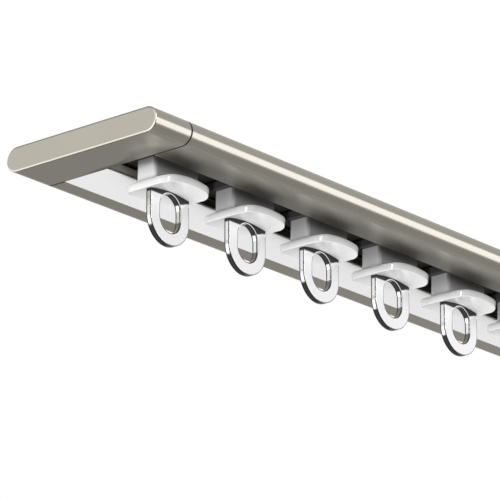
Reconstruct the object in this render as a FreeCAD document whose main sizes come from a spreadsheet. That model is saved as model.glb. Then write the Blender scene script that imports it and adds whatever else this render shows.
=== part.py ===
# Flat ceiling curtain track with eyelet gliders.
# Lengths are in millimetres. X runs along the track, +Y points to the wall behind the curtain and +Z up.
# The origin lies on the top face, at mid-length, on the line of the ceiling screws.
# Places across the track are measured from its rear edge, heights from its underside.
import FreeCAD, Part
import math
import os
import Sketcher

V = FreeCAD.Vector

DRIVING_SIZES = [
    ("track_length", 360.0, "whole track with both end caps"),
    ("track_height", 6.0, "underside to top face, both edges are full rounds"),
    ("top_wall", 1.2, "wall against the ceiling"),
    ("bottom_wall", 1.1, "walls of the underside"),
    ("partition_wall", 1.0, "upright walls between the three runs"),
    ("rear_lip", 6.7, "metal underside behind the cover strip"),
    ("strip_seat", 13.15, "opening that the cover strip closes"),
    ("lip_width", 0.6, "metal lip between cover strip and slot"),
    ("slot_width", 13.1, "open slot between the running ledges"),
    ("front_flank", 11.45, "metal underside in front of the slot, up to the front edge"),
    ("ledge_height", 2.2, "running surface above the underside"),
    ("ledge_web", 0.9, "thickness of the rear ledge"),
    ("ledge_toe", 0.6, "rear ledge past its wall, holds the cover strip"),
    ("rail_width", 0.8, "upright rail along the front of the slot"),
    ("wing_room", 2.5, "glider run past each side of the slot"),
    ("screw_line", 11.4, "line of the ceiling screws, from the rear edge"),
    ("screw_hole", 4.4, "clearance hole of a ceiling screw"),
    ("screw_spacing", 240.0, "from hole to hole"),
    ("screw_count", 2.0, "ceiling screws"),
    ("strip_thickness", 1.0, "plate of the cover strip"),
    ("strip_leg", 0.8, "thickness of its snap legs"),
    ("strip_barb", 0.4, "reach of the barb on each leg"),
    ("strip_barb_height", 0.8, "height of each barb"),
    ("seat_gap", 0.1, "clearance of the snapped and plugged pieces"),
    ("cap_length", 11.9, "visible length of an end cap"),
    ("cap_edge", 0.42, "bevel along the rim of a cap's end face"),
    ("tongue_length", 9.0, "cap tongues inside the profile"),
    ("tongue_lead", 0.5, "chamfer at the tip of a tongue"),
    ("glider_count", 8.0, "gliders on the track"),
    ("first_gap", 4.3, "from the left end cap to the first glider's head"),
    ("glider_gap", 10.7, "from head to head"),
    ("head_overhang", 0.5, "head past each end of the neck"),
    ("head_height", 2.1, "glider head inside the track"),
    ("head_side_play", 0.3, "between the head and each wall"),
    ("head_run_play", 0.2, "between the head and the ledges"),
    ("head_corner", 2.0, "rounded corners of the head"),
    ("neck_length", 15.0, "neck along the track"),
    ("neck_width", 5.75, "neck across the track"),
    ("neck_corner", 0.86, "rounded corners of the neck"),
    ("flange_overhang", 0.45, "flange past each end of the neck"),
    ("flange_width", 14.0, "flange across the track"),
    ("flange_thickness", 1.75, "moulded plate of the flange"),
    ("flange_drop", 3.95, "underside of the flange's crown below the track"),
    ("flange_bend", 34.0, "radius of the flange's arched underside"),
    ("flange_corner", 3.2, "rounded corners of the flange"),
    ("eyelet_width", 12.8, "ring along the track"),
    ("eyelet_thickness", 1.55, "ring across the track"),
    ("eyelet_drop", 16.65, "bottom of the ring below the track"),
    ("eyelet_rim", 2.95, "width of the ring's band"),
    ("eyelet_bridge", 0.5, "metal left above the ring's hole"),
    ("tang_width", 5.0, "tang that is pressed into the glider body"),
    ("tang_height", 3.4, "tang above the flange's crown"),
    ("tang_lead", 0.4, "chamfer at the tip of the tang"),
]

doc = FreeCAD.newDocument("CurtainTrack")


class Term:
    """A length that is worked out from the sheet: its number now, and the expression that keeps it live."""

    def __init__(self, value, text):
        self.value = value
        self.text = text

    def __add__(self, other):
        other = as_term(other)
        return Term(self.value + other.value, "(%s + %s)" % (self.text, other.text))

    def __sub__(self, other):
        other = as_term(other)
        return Term(self.value - other.value, "(%s - %s)" % (self.text, other.text))

    def __mul__(self, other):
        other = as_term(other)
        return Term(self.value * other.value, "(%s * %s)" % (self.text, other.text))

    def __truediv__(self, other):
        other = as_term(other)
        return Term(self.value / other.value, "(%s / %s)" % (self.text, other.text))

    def __neg__(self):
        return Term(-self.value, "(0 - %s)" % self.text)


def as_term(number):
    """A Term as it is, or a plain number as a Term."""
    if isinstance(number, Term):
        return number
    return Term(float(number), repr(float(number)))


def make_sheet():
    """Write the driving sizes to the sheet and give each one back as a Term."""
    sheet = doc.addObject("Spreadsheet::Sheet", "Sizes")
    for row, (alias, number, note) in enumerate(DRIVING_SIZES, start=1):
        sheet.set("A%d" % row, alias)
        sheet.set("B%d" % row, str(number))
        sheet.setAlias("B%d" % row, alias)
        sheet.set("C%d" % row, note)
    doc.recompute()
    return {alias: Term(float(sheet.get(alias)), "Sizes." + alias) for alias, _, _ in DRIVING_SIZES}


size = make_sheet()
zero = as_term(0.0)


# Places across the track, from its rear edge
lip_edge = size["rear_lip"] + size["strip_seat"]
slot_rear = lip_edge + size["lip_width"]
slot_centre = slot_rear + size["slot_width"] / 2
slot_front = slot_rear + size["slot_width"]
track_width = slot_front + size["front_flank"]
run_rear = slot_rear - size["wing_room"]
run_front = slot_front + size["wing_room"]
rear_wall = run_rear - size["partition_wall"]
front_wall = run_front + size["partition_wall"]
toe_edge = rear_wall - size["ledge_toe"]
edge_radius = size["track_height"] / 2

# Heights above the underside
ceiling_height = size["track_height"] - size["top_wall"]
web_height = size["ledge_height"] - size["ledge_web"]
hollow_radius = (ceiling_height - size["bottom_wall"]) / 2
hollow_middle = (ceiling_height + size["bottom_wall"]) / 2
profile_length = size["track_length"] - size["cap_length"] * 2

# Lengths of the gliders along the track
head_length = size["neck_length"] + size["head_overhang"] * 2
flange_length = size["neck_length"] + size["flange_overhang"] * 2


def across(place):
    """Row coordinate Y of a place that is measured from the rear edge."""
    return size["screw_line"] - place


def level(height):
    """Row coordinate Z of a height that is measured from the underside."""
    return height - size["track_height"]


def new_body(label):
    body = doc.addObject("PartDesign::Body", label)
    body.Label = label
    return body


def new_sketch(body, name, role, offset=None):
    sketch = body.newObject("Sketcher::SketchObject", name)
    plane = [feature for feature in body.Origin.OriginFeatures if feature.Role == role][0]
    sketch.AttachmentSupport = [(plane, "")]
    sketch.MapMode = "FlatFace"
    if offset is not None:
        sketch.setExpression("AttachmentOffset.Base.z", offset.text)
    return sketch


def bind(sketch, kind, *target):
    """Add one dimension whose value is the last entry, a Term, and keep it live."""
    term = target[-1]
    index = sketch.addConstraint(Sketcher.Constraint(kind, *target[:-1], term.value))
    sketch.setExpression("Constraints[%d]" % index, term.text)


def place_point(sketch, geometry, point, x, y):
    """Bind a point of the sketch to its distances from the sketch's origin."""
    bind(sketch, "DistanceX", -1, 1, geometry, point, x)
    bind(sketch, "DistanceY", -1, 1, geometry, point, y)


def draw_polygon(sketch, corners):
    """Closed outline of straight lines, each corner bound to the sheet."""
    spots = [V(x.value, y.value, 0) for x, y in corners]
    count = len(spots)
    lines = [sketch.addGeometry(Part.LineSegment(spots[i], spots[(i + 1) % count])) for i in range(count)]
    for i in range(count):
        sketch.addConstraint(Sketcher.Constraint("Coincident", lines[i - 1], 2, lines[i], 1))
        place_point(sketch, lines[i], 1, *corners[i])


def draw_rectangle(sketch, x_low, x_high, y_low, y_high):
    draw_polygon(sketch, [(x_low, y_low), (x_high, y_low), (x_high, y_high), (x_low, y_high)])


def add_arc(sketch, x, y, radius, start, end):
    """Arc about a bound centre with a bound radius, its ends left free."""
    circle = Part.Circle(V(x.value, y.value, 0), V(0, 0, 1), radius.value)
    arc = sketch.addGeometry(Part.ArcOfCircle(circle, start, end))
    place_point(sketch, arc, 3, x, y)
    bind(sketch, "Radius", arc, radius)
    return arc


def draw_stadium(sketch, x_low, y_low, x_high, y_high, radius):
    """Two half rounds about the given centres, joined by tangent lines, level or upright."""
    upright = x_low.text == x_high.text
    turn = math.pi / 2 if upright else 0.0
    first = add_arc(sketch, x_low, y_low, radius, turn + math.pi / 2, turn + 3 * math.pi / 2)
    last = add_arc(sketch, x_high, y_high, radius, turn - math.pi / 2, turn + math.pi / 2)
    side = V(-math.sin(turn), math.cos(turn), 0) * radius.value
    low = V(x_low.value, y_low.value, 0)
    high = V(x_high.value, y_high.value, 0)
    top = sketch.addGeometry(Part.LineSegment(low + side, high + side))
    bottom = sketch.addGeometry(Part.LineSegment(high - side, low - side))
    sketch.addConstraint(Sketcher.Constraint("Tangent", first, 1, top, 1))
    sketch.addConstraint(Sketcher.Constraint("Tangent", last, 2, top, 2))
    sketch.addConstraint(Sketcher.Constraint("Tangent", last, 1, bottom, 1))
    sketch.addConstraint(Sketcher.Constraint("Tangent", first, 2, bottom, 2))


def add_pad(body, name, sketch, length, symmetric=False, backwards=False):
    pad = body.newObject("PartDesign::Pad", name)
    pad.Profile = sketch
    if symmetric:
        pad.SideType = "Symmetric"
    pad.Reversed = backwards
    pad.setExpression("Length", length.text)
    sketch.Visibility = False
    return pad


def add_pocket(body, name, sketch, length):
    """Cut the sketch out of the body, half of the length to each side of its plane."""
    pocket = body.newObject("PartDesign::Pocket", name)
    pocket.Profile = sketch
    pocket.SideType = "Symmetric"
    pocket.setExpression("Length", length.text)
    sketch.Visibility = False


def edges_where(feature, test):
    """Names of the edges of a feature whose middle and direction pass the test."""
    doc.recompute()
    names = []
    for index, edge in enumerate(feature.Shape.Edges, start=1):
        middle = edge.valueAt((edge.FirstParameter + edge.LastParameter) / 2)
        if test(edge, middle):
            names.append("Edge%d" % index)
    return names


def add_edge_feature(body, kind, name, base, edges, size_name, amount):
    """Fillet or chamfer on some edges of a feature, with its size kept live."""
    feature = body.newObject(kind, name)
    feature.Base = (base, edges)
    feature.setExpression(size_name, amount.text)
    return feature


def is_upright(edge):
    """Whether an edge runs straight up, along Z."""
    ends = [vertex.Point for vertex in edge.Vertexes]
    if len(ends) < 2:
        return False
    run = ends[1] - ends[0]
    return abs(run.x) < 1e-6 and abs(run.y) < 1e-6


def near(a, b):
    return abs(a - b) < 1e-4


def make_profile():
    """Extruded track: a full-round bar with a front hollow, the glider run and the rear screw run."""
    body = new_body("track_profile")
    outline = new_sketch(body, "ProfileOutline", "YZ_Plane")
    middle = level(edge_radius)
    front_round = across(track_width - edge_radius)
    rear_round = across(edge_radius)
    draw_stadium(outline, front_round, middle, rear_round, middle, edge_radius)
    add_pad(body, "ProfileBar", outline, profile_length, symmetric=True)

    hollows = new_sketch(body, "HollowOutlines", "YZ_Plane")
    height = level(hollow_middle)
    draw_stadium(hollows, front_round, height, across(front_wall + hollow_radius), height, hollow_radius)
    draw_stadium(hollows, across(size["rear_lip"]), height, rear_round, height, hollow_radius)
    add_pocket(body, "Hollows", hollows, size["track_length"])

    below = level(-size["bottom_wall"])
    ledge = level(size["ledge_height"])
    ceiling = level(ceiling_height)
    floor = level(size["bottom_wall"])
    run = new_sketch(body, "GliderRunOutline", "YZ_Plane")
    draw_polygon(run, [
        (across(slot_rear), below),
        (across(slot_rear), ledge),
        (across(run_rear), ledge),
        (across(run_rear), ceiling),
        (across(run_front), ceiling),
        (across(run_front), floor),
        (across(slot_front + size["rail_width"]), floor),
        (across(slot_front + size["rail_width"]), ledge),
        (across(slot_front), ledge),
        (across(slot_front), below),
    ])
    add_pocket(body, "GliderRun", run, size["track_length"])

    screw_run = new_sketch(body, "ScrewRunOutline", "YZ_Plane")
    draw_polygon(screw_run, [
        (across(size["rear_lip"]), below),
        (across(size["rear_lip"]), ceiling),
        (across(rear_wall), ceiling),
        (across(rear_wall), ledge),
        (across(toe_edge), ledge),
        (across(toe_edge), level(web_height)),
        (across(lip_edge), level(web_height)),
        (across(lip_edge), below),
    ])
    add_pocket(body, "ScrewRun", screw_run, size["track_length"])
    add_screw_holes(body)
    return body


def add_screw_holes(body):
    """Clearance holes through the ceiling wall, in a row above the cover strip."""
    half_row = size["screw_spacing"] * (size["screw_count"] - 1) / 2
    spot = new_sketch(body, "ScrewSpot", "XY_Plane")
    radius = size["screw_hole"] / 2
    circle = spot.addGeometry(Part.Circle(V(-half_row.value, 0, 0), V(0, 0, 1), radius.value))
    bind(spot, "DistanceX", -1, 1, circle, 3, -half_row)
    spot.addConstraint(Sketcher.Constraint("PointOnObject", circle, 3, -1))
    bind(spot, "Radius", circle, radius)
    doc.recompute()
    hole = body.newObject("PartDesign::Hole", "ScrewHole")
    hole.Profile = spot
    hole.Threaded = False
    hole.DepthType = "Dimension"
    hole.DrillPoint = "Flat"
    hole.setExpression("Diameter", size["screw_hole"].text)
    hole.setExpression("Depth", (size["top_wall"] + size["seat_gap"]).text)
    spot.Visibility = False
    doc.recompute()
    row = body.newObject("PartDesign::LinearPattern", "ScrewRow")
    row.Originals = [hole]
    row.Direction = (spot, ["H_Axis"])
    row.setExpression("Length", (half_row * 2).text)
    row.setExpression("Occurrences", size["screw_count"].text)
    body.Tip = row


def make_cover_strip():
    """Moulded strip whose two barbed legs snap over the rear lip and the toe of the rear ledge."""
    body = new_body("cover_strip")
    rear = size["rear_lip"] + size["seat_gap"]
    front = lip_edge - size["seat_gap"]
    leg_front = toe_edge - size["seat_gap"]
    leg_rear = leg_front - size["strip_leg"]
    rear_leg_front = rear + size["strip_leg"]
    plate = level(size["strip_thickness"])
    rear_hook = level(size["bottom_wall"] + size["seat_gap"])
    front_hook = level(size["ledge_height"] + size["seat_gap"])
    section = new_sketch(body, "StripSection", "YZ_Plane")
    draw_polygon(section, [
        (across(rear), level(zero)),
        (across(front), level(zero)),
        (across(front), plate),
        (across(leg_front), plate),
        (across(leg_front), front_hook),
        (across(leg_front + size["strip_barb"]), front_hook),
        (across(leg_front), front_hook + size["strip_barb_height"]),
        (across(leg_rear), front_hook + size["strip_barb_height"]),
        (across(leg_rear), plate),
        (across(rear_leg_front), plate),
        (across(rear_leg_front), rear_hook + size["strip_barb_height"]),
        (across(rear), rear_hook + size["strip_barb_height"]),
        (across(rear - size["strip_barb"]), rear_hook),
        (across(rear), rear_hook),
    ])
    add_pad(body, "StripLength", section, profile_length, symmetric=True)
    return body


def make_end_cap(label, side):
    """Solid cap of the track's own outline, with a tongue for each of the two closed runs."""
    body = new_body(label)
    seam = profile_length * side / 2
    middle = level(edge_radius)
    front_round = across(track_width - edge_radius)
    outward = side > 0
    outline = new_sketch(body, label + "_outline", "YZ_Plane", seam)
    draw_stadium(outline, front_round, middle, across(edge_radius), middle, edge_radius)
    add_pad(body, label + "_block", outline, size["cap_length"], backwards=not outward)

    height = level(hollow_middle)
    slim = hollow_radius - size["seat_gap"]
    front_tongue = new_sketch(body, label + "_front_tongue", "YZ_Plane", seam)
    draw_stadium(front_tongue, front_round, height, across(front_wall + hollow_radius), height, slim)
    add_pad(body, label + "_front_plug", front_tongue, size["tongue_length"], backwards=outward)

    rear_tongue = new_sketch(body, label + "_rear_tongue", "YZ_Plane", seam)
    leg_rear = toe_edge - size["seat_gap"] - size["strip_leg"]
    barb_top = size["bottom_wall"] + size["seat_gap"] + size["strip_barb_height"]
    draw_rectangle(
        rear_tongue,
        across(leg_rear - size["seat_gap"]),
        across(edge_radius),
        level(barb_top + size["seat_gap"]),
        level(ceiling_height - size["seat_gap"]),
    )
    rear_plug = add_pad(body, label + "_rear_plug", rear_tongue, size["tongue_length"], backwards=outward)

    tip = side * (profile_length.value / 2 - size["tongue_length"].value)
    tip_edges = edges_where(rear_plug, lambda edge, spot: near(spot.x, tip))
    lead = add_edge_feature(
        body, "PartDesign::Chamfer", label + "_lead", rear_plug, tip_edges, "Size", size["tongue_lead"]
    )
    face = side * size["track_length"].value / 2
    rim_edges = edges_where(lead, lambda edge, spot: near(spot.x, face))
    add_edge_feature(body, "PartDesign::Chamfer", label + "_rim", lead, rim_edges, "Size", size["cap_edge"])
    return body


# Heights of the gliders, with the track's underside at height 0
head_floor = level(size["ledge_height"] + size["head_run_play"])
crown = level(-size["flange_drop"])
bend_centre = crown - size["flange_bend"]


def draw_arched_band(sketch):
    """Side view of the flange: two arcs about one centre, cut off upright at both ends."""
    inner = size["flange_bend"]
    outer = inner + size["flange_thickness"]
    reach = flange_length / 2
    arcs = []
    for radius in (inner, outer):
        spread = math.asin(reach.value / radius.value)
        arcs.append(add_arc(sketch, zero, bend_centre, radius, math.pi / 2 - spread, math.pi / 2 + spread))
    for point, x in ((1, reach), (2, -reach)):
        low = sketch.getPoint(arcs[0], point)
        high = sketch.getPoint(arcs[1], point)
        line = sketch.addGeometry(Part.LineSegment(low, high))
        sketch.addConstraint(Sketcher.Constraint("Coincident", line, 1, arcs[0], point))
        sketch.addConstraint(Sketcher.Constraint("Coincident", line, 2, arcs[1], point))
        sketch.addConstraint(Sketcher.Constraint("Vertical", line))
        bind(sketch, "DistanceX", -1, 1, line, 1, x)


def place_glider(body, number):
    """Move a glider piece to its place in the row, which starts at the left end cap."""
    first = size["cap_length"] + size["first_gap"] + head_length / 2 - size["track_length"] / 2
    pitch = head_length + size["glider_gap"]
    body.setExpression("Placement.Base.x", (first + pitch * number).text)
    body.setExpression("Placement.Base.y", across(slot_centre).text)


def make_glider_body(number):
    """Moulded glider: a wide head in the track, a narrow neck through the slot and an arched flange."""
    label = "glider_%d_body" % (number + 1)
    body = new_body(label)
    head_plan = new_sketch(body, label + "_head_plan", "XY_Plane", head_floor)
    head_half = head_length / 2
    wing = size["slot_width"] / 2 + size["wing_room"] - size["head_side_play"]
    draw_rectangle(head_plan, -head_half, head_half, -wing, wing)
    head = add_pad(body, label + "_head", head_plan, size["head_height"])
    corners = edges_where(head, lambda edge, spot: is_upright(edge))
    add_edge_feature(
        body, "PartDesign::Fillet", label + "_head_corners", head, corners, "Radius", size["head_corner"]
    )

    neck_plan = new_sketch(body, label + "_neck_plan", "XY_Plane", head_floor)
    neck_half = size["neck_length"] / 2
    neck_side = size["neck_width"] / 2
    draw_rectangle(neck_plan, -neck_half, neck_half, -neck_side, neck_side)
    above_crown = size["flange_thickness"] / 4
    neck_reach = head_floor - crown - above_crown
    neck = add_pad(body, label + "_neck", neck_plan, neck_reach, backwards=True)
    corners = edges_where(neck, lambda edge, spot: is_upright(edge) and near(abs(spot.y), neck_side.value))
    add_edge_feature(
        body, "PartDesign::Fillet", label + "_neck_corners", neck, corners, "Radius", size["neck_corner"]
    )

    side_view = new_sketch(body, label + "_flange_side", "XZ_Plane")
    draw_arched_band(side_view)
    flange = add_pad(body, label + "_flange", side_view, size["flange_width"], symmetric=True)
    half_width = size["flange_width"].value / 2
    corners = edges_where(flange, lambda edge, spot: is_upright(edge) and near(abs(spot.y), half_width))
    rounds = label + "_flange_corners"
    add_edge_feature(body, "PartDesign::Fillet", rounds, flange, corners, "Radius", size["flange_corner"])

    tang_view = new_sketch(body, label + "_tang_slot_view", "XZ_Plane")
    tang_half = size["tang_width"] / 2
    slot_top = crown + size["tang_height"] + size["seat_gap"]
    draw_rectangle(tang_view, -tang_half, tang_half, crown - size["flange_thickness"], slot_top)
    add_pocket(body, label + "_tang_slot", tang_view, size["eyelet_thickness"])
    place_glider(body, number)
    return body


def make_glider_eyelet(number):
    """Stamped ring that seats under the arched flange, with a tang pressed up into the neck."""
    label = "glider_%d_eyelet" % (number + 1)
    body = new_body(label)
    half = size["eyelet_width"] / 2
    bottom_centre = level(half - size["eyelet_drop"])
    side_view = new_sketch(body, label + "_outline", "XZ_Plane")
    spread = math.asin(half.value / size["flange_bend"].value)
    top = add_arc(
        side_view, zero, bend_centre, size["flange_bend"], math.pi / 2 - spread, math.pi / 2 + spread
    )
    bottom = add_arc(side_view, zero, bottom_centre, half, math.pi, 2 * math.pi)
    for bottom_point, top_point in ((1, 2), (2, 1)):
        low = side_view.getPoint(bottom, bottom_point)
        high = side_view.getPoint(top, top_point)
        line = side_view.addGeometry(Part.LineSegment(low, high))
        side_view.addConstraint(Sketcher.Constraint("Tangent", bottom, bottom_point, line, 1))
        side_view.addConstraint(Sketcher.Constraint("Coincident", line, 2, top, top_point))
        side_view.addConstraint(Sketcher.Constraint("Vertical", line))
    add_pad(body, label + "_plate", side_view, size["eyelet_thickness"], symmetric=True)

    hole_radius = half - size["eyelet_rim"]
    hole_top = crown - size["eyelet_bridge"] - hole_radius
    hole_view = new_sketch(body, label + "_hole_view", "XZ_Plane")
    draw_stadium(hole_view, zero, bottom_centre, zero, hole_top, hole_radius)
    add_pocket(body, label + "_hole", hole_view, size["eyelet_thickness"])

    tang_view = new_sketch(body, label + "_tang_view", "XZ_Plane")
    tang_half = size["tang_width"] / 2
    tang_top = crown + size["tang_height"]
    draw_rectangle(tang_view, -tang_half, tang_half, crown - size["eyelet_bridge"] / 2, tang_top)
    tang = add_pad(body, label + "_tang", tang_view, size["eyelet_thickness"], symmetric=True)
    tip_edges = edges_where(tang, lambda edge, spot: near(spot.z, tang_top.value))
    add_edge_feature(body, "PartDesign::Chamfer", label + "_lead", tang, tip_edges, "Size", size["tang_lead"])
    place_glider(body, number)
    return body


nodes = [
    make_profile(),
    make_cover_strip(),
    make_end_cap("end_cap_left", -1),
    make_end_cap("end_cap_right", 1),
]
for glider in range(int(size["glider_count"].value)):
    nodes.append(make_glider_body(glider))
    nodes.append(make_glider_eyelet(glider))
doc.recompute()

for item in doc.Objects:
    if "Invalid" in item.State or "Error" in item.State:
        raise RuntimeError("%s did not recompute: %s" % (item.Name, item.State))
for node in nodes:
    if node.Shape.isNull() or not node.Shape.isValid():
        raise RuntimeError("%s has no valid shape" % node.Label)

os.makedirs("parts", exist_ok=True)
for node in nodes:
    node.Shape.exportStep("parts/%s.step" % node.Label)
    print(node.Label, round(node.Shape.Volume, 2), len(node.Shape.Solids))
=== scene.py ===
import math

import bmesh
import bpy
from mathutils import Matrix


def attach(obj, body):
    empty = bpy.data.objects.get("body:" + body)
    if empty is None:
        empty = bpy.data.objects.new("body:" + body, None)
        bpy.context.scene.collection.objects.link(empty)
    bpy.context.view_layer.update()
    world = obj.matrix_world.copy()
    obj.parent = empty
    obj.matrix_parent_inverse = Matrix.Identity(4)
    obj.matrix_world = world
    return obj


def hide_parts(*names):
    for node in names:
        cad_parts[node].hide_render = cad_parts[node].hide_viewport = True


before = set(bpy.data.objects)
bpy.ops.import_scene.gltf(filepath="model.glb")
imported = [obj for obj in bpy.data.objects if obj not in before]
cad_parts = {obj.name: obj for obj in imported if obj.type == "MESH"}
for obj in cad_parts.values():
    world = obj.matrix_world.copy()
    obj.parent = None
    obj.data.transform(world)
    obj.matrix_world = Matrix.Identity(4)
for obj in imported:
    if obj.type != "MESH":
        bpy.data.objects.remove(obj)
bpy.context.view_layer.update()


# Place to look from: the track hangs under a ceiling and is seen from below
# and from its left end, through a long lens that hardly narrows it.
lens = bpy.data.cameras.new("long_lens")
lens.lens = 286.03
lens.sensor_width = 36.0
lens.clip_start = 0.05
lens.clip_end = 60.0
camera = bpy.data.objects.new("long_lens", lens)
camera.location = (-0.78296, -0.57318, -0.31174)
camera.rotation_euler = (math.radians(108.957), 0.0, math.radians(-49.62))
bpy.context.scene.collection.objects.link(camera)
bpy.context.scene.camera = camera
bpy.context.scene.view_settings.view_transform = "Standard"


# Studio: a plain pale room above a white floor. Metal mirrors a broad softbox
# to the front right, an upright strip light to the front left and dark cards.
class Wire:
    """An output of a node. Sums and products with it add Math nodes beside it."""

    def __init__(self, board, socket):
        self.board = board
        self.socket = socket

    def __add__(self, other):
        return self.board.maths("ADD", self, other)

    def __radd__(self, other):
        return self.board.maths("ADD", other, self)

    def __sub__(self, other):
        return self.board.maths("SUBTRACT", self, other)

    def __rsub__(self, other):
        return self.board.maths("SUBTRACT", other, self)

    def __mul__(self, other):
        return self.board.maths("MULTIPLY", self, other)

    def __rmul__(self, other):
        return self.board.maths("MULTIPLY", other, self)


class Board:
    """A node tree that is being wired up."""

    def __init__(self, tree):
        self.tree = tree
        self.tree.nodes.clear()

    def node(self, kind, settings=None, sockets=None, output=0):
        """Add a node: its settings first, then a value or a Wire for each named socket."""
        made = self.tree.nodes.new(kind)
        for name, value in (settings or {}).items():
            setattr(made, name, value)
        for name, value in (sockets or {}).items():
            if isinstance(value, Wire):
                self.tree.links.new(value.socket, made.inputs[name])
            else:
                made.inputs[name].default_value = value
        return Wire(self, made.outputs[output]) if made.outputs else None

    def maths(self, operation, *terms):
        """Math node of up to three numbers or Wires."""
        return self.node("ShaderNodeMath", {"operation": operation}, dict(enumerate(terms)))

    def noise(self, place, scale, detail):
        """Level, from 0 to 1, of a noise at a place, with grains about 1 / scale across."""
        return self.node("ShaderNodeTexNoise", sockets={"Vector": place, "Scale": scale, "Detail": detail})

    def fade(self, value, start, end, low=0.0, high=1.0):
        """Smooth step from low, at start, to high, at end."""
        return self.node(
            "ShaderNodeMapRange",
            {"interpolation_type": "SMOOTHSTEP"},
            {"Value": value, "From Min": start, "From Max": end, "To Min": low, "To Max": high},
        )

    def blend(self, share, low, high):
        """Mix of two colours."""
        return self.node("ShaderNodeMix", {"data_type": "RGBA"}, {0: share, 6: low, 7: high}, output=2)

    def fine_bump(self, strength, height):
        """Normal of a surface with a relief of up to a hundredth of a millimetre."""
        return self.node(
            "ShaderNodeBump",
            sockets={"Strength": strength, "Distance": 0.00001, "Height": height},
            output="Normal",
        )

    def surface(self, sockets):
        """End a material in one Principled shader."""
        shader = self.node("ShaderNodeBsdfPrincipled", sockets=sockets)
        self.node("ShaderNodeOutputMaterial", sockets={"Surface": shader})


def material_board(name):
    """A new material and the board of its nodes."""
    material = bpy.data.materials.new(name)
    material.use_nodes = True
    return material, Board(material.node_tree)


def placed(name, mesh):
    """Object that shows a mesh in the scene."""
    made = bpy.data.objects.new(name, mesh)
    bpy.context.scene.collection.objects.link(made)
    return made


def sine(degrees):
    return math.sin(math.radians(degrees))


def cosine(degrees):
    return math.cos(math.radians(degrees))


studio = bpy.data.worlds.new("studio")
studio.use_nodes = True
bpy.context.scene.world = studio
room = Board(studio.node_tree)
looking = room.node("ShaderNodeTexCoord", output="Generated")
rise = room.node("ShaderNodeSeparateXYZ", sockets={"Vector": looking}, output="Z")
level_looking = room.node(
    "ShaderNodeVectorMath", {"operation": "MULTIPLY"}, {0: looking, 1: (1.0, 1.0, 0.0)}, output="Vector"
)
bearing = room.node("ShaderNodeVectorMath", {"operation": "NORMALIZE"}, {0: level_looking}, output="Vector")


def toward(heading, full, none):
    """1 within so many degrees of a heading, counted from +X towards +Y, and 0 past so many more."""
    facing = room.node(
        "ShaderNodeVectorMath",
        {"operation": "DOT_PRODUCT"},
        {0: bearing, 1: (cosine(heading), sine(heading), 0.0)},
        output="Value",
    )
    return room.fade(facing, cosine(none), cosine(full))


def between(low, high, soft):
    """1 between two heights above the horizon, in degrees, with soft edges."""
    over_low = room.fade(rise, sine(low - soft), sine(low + soft))
    under_high = room.fade(rise, sine(high + soft), sine(high - soft))
    return over_low * under_high


above_ground = room.fade(rise, sine(-28.0), sine(-19.0))
underfoot = room.fade(rise, sine(-56.0), sine(-66.0), 0.0, 0.45)
ground_tone = 0.05 + toward(-5.0, 35.0, 52.0) * 0.27
side_walls = 0.53 + toward(140.0, 30.0, 130.0) * 0.24
dark_ceiling = toward(125.0, 50.0, 75.0) * room.fade(rise, sine(31.0), sine(40.0))
dark_panel = toward(45.0, 37.0, 80.0) * room.fade(rise, sine(29.0), sine(5.0))
dark_post = toward(0.0, 14.0, 26.0) * between(10.0, 27.0, 3.0)
dark_gap = toward(206.0, 14.0, 26.0)
panelled = side_walls * (1.0 - dark_panel) + dark_panel * 0.37
walls = panelled * (1.0 - dark_gap) * (1.0 - dark_post) * (1.0 - dark_ceiling * 0.5)
softbox = toward(-41.0, 28.0, 42.0) * between(-17.0, 17.0, 1.5)
side_box = toward(139.0, 22.0, 36.0) * between(-21.5, 10.0, 3.0)
strip_light = toward(-129.5, 6.0, 8.5) * between(4.0, 40.0, 4.0)
side_panel = toward(162.0, 12.0, 18.0) * between(-10.0, 40.0, 4.0)
mirrored = (
    walls * above_ground
    + ground_tone * (1.0 - above_ground)
    + underfoot
    + softbox * 1.08
    + side_box * 0.65
    + strip_light * 14.0
    + side_panel * 0.6
)
camera_ray = room.node("ShaderNodeLightPath", output="Is Camera Ray")
glossy_ray = room.node("ShaderNodeLightPath", output="Is Glossy Ray")
side_lamp = toward(183.0, 12.0, 34.0) * between(-16.0, 2.0, 4.0)
front_fill = toward(-90.0, 70.0, 95.0) * between(-20.0, 16.0, 4.0)
soft_light = (
    0.12
    + room.fade(rise, -0.25, -1.0, 0.0, 1.46)
    + room.fade(rise, 0.0, 1.0, 0.0, 0.3)
    + front_fill * 0.27
    + side_lamp * 7.6
)
level = room.node("ShaderNodeMix", {"data_type": "FLOAT"}, {0: glossy_ray, 2: soft_light, 3: mirrored})
shown = room.node("ShaderNodeMix", {"data_type": "FLOAT"}, {0: camera_ray, 2: level, 3: 1.0})
tint = room.blend(softbox * glossy_ray, (1.0, 1.0, 1.0, 1.0), (0.985, 0.99, 1.03, 1.0))
light = room.node("ShaderNodeBackground", sockets={"Color": tint, "Strength": shown})
room.node("ShaderNodeOutputWorld", sockets={"Surface": light})

GROUND_REACH = 30.0
GROUND_DEPTH = -3.1

ground_material, ground_board = material_board("pale_ground")
ground_speck = ground_board.node("ShaderNodeTexNoise", sockets={"Scale": 0.6, "Detail": 2.0})
ground_board.surface({
    "Base Color": ground_board.blend(ground_speck, (0.93, 0.93, 0.93, 1.0), (0.96, 0.96, 0.96, 1.0)),
    "Roughness": 0.7,
    "Emission Color": (1.0, 1.0, 1.0, 1.0),
    "Emission Strength": 0.42,
})
ground_mesh = bpy.data.meshes.new("ground")
ground_corners = [
    (x * GROUND_REACH, y * GROUND_REACH, GROUND_DEPTH) for x, y in ((-1, -1), (1, -1), (1, 1), (-1, 1))
]
ground_mesh.from_pydata(ground_corners, [], [(0, 1, 2, 3)])
ground_mesh.materials.append(ground_material)
ground = placed("ground", ground_mesh)
ground.visible_diffuse = False
ground.visible_glossy = False
ground.visible_shadow = False


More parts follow.
